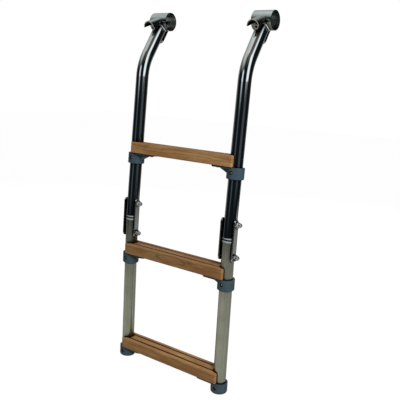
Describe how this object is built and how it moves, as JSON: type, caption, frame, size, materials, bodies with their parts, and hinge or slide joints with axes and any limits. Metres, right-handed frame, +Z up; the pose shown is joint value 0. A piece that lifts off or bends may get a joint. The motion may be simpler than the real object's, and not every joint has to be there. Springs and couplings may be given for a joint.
{
  "type": "swim platform ladder",
  "caption": "Folding boat swim ladder: bent stainless tubes on hook sleeves, grooved hardwood steps on plastic brackets, and link-plate hinges that fold the lower part up in front.",
  "frame": {"origin": "on the common axis of the two hook sleeves, midway between the left and right tubes", "axes": "+X to the right along the steps and the sleeves' axis, -Y to the climber's side, +Z up"},
  "size_m": [0.2875, 0.1109, 0.7236],
  "materials": {
    "oiled_hardwood": "oiled warm brown hardwood with fine straight grain, lighter on its worn edges",
    "grey_plastic": "blue-grey moulded plastic, satin",
    "pale_plastic": "pale blue-grey moulded plastic",
    "mirror_tube": "mirror-polished stainless steel",
    "polished_tube": "polished stainless steel with fine lengthwise marks",
    "link_steel": "flat stainless plate, softly brushed",
    "bright_fastener": "bright stainless steel",
    "hook_steel": "tumbled stainless steel, satin, with polished edges"
  },
  "bodies": {
    "upper_section": {"top_step": "oiled_hardwood", "upper_rail_left": "mirror_tube", "upper_plug_left": "pale_plastic", "hook_sleeve_left": "hook_steel", "hook_guide_left": "hook_steel", "hook_boss_left": "hook_steel", "hook_strap_left": "hook_steel", "top_bracket_left": "grey_plastic", "upper_bolt_left": "bright_fastener", "upper_nut_left": "bright_fastener", "upper_rail_right": "mirror_tube", "upper_plug_right": "pale_plastic", "hook_sleeve_right": "hook_steel", "hook_guide_right": "hook_steel", "hook_boss_right": "hook_steel", "hook_strap_right": "hook_steel", "top_bracket_right": "grey_plastic", "upper_bolt_right": "bright_fastener", "upper_nut_right": "bright_fastener"},
    "hinge_links": {"left_link_inner": "link_steel", "left_link_outer": "link_steel", "right_link_inner": "link_steel", "right_link_outer": "link_steel"},
    "lower_section": {"middle_step": "oiled_hardwood", "bottom_step": "oiled_hardwood", "lower_rail_left": "polished_tube", "lower_plug_left": "pale_plastic", "middle_bracket_left": "grey_plastic", "foot_bracket_left": "grey_plastic", "lower_bolt_left": "bright_fastener", "lower_nut_left": "bright_fastener", "lower_rail_right": "polished_tube", "lower_plug_right": "pale_plastic", "middle_bracket_right": "grey_plastic", "foot_bracket_right": "grey_plastic", "lower_bolt_right": "bright_fastener", "lower_nut_right": "bright_fastener"}
  },
  "joints": [
    {"name": "upper_hinge", "type": "hinge", "parent": "upper_section", "child": "hinge_links", "pos_m": [0, -0.07601, -0.3679], "axis": [-1, 0, 0], "range_deg": [0, 90]},
    {"name": "lower_hinge", "type": "hinge", "parent": "hinge_links", "child": "lower_section", "pos_m": [0, -0.07773, -0.42937], "axis": [-1, 0, 0], "range_deg": [0, 90]}
  ]
}
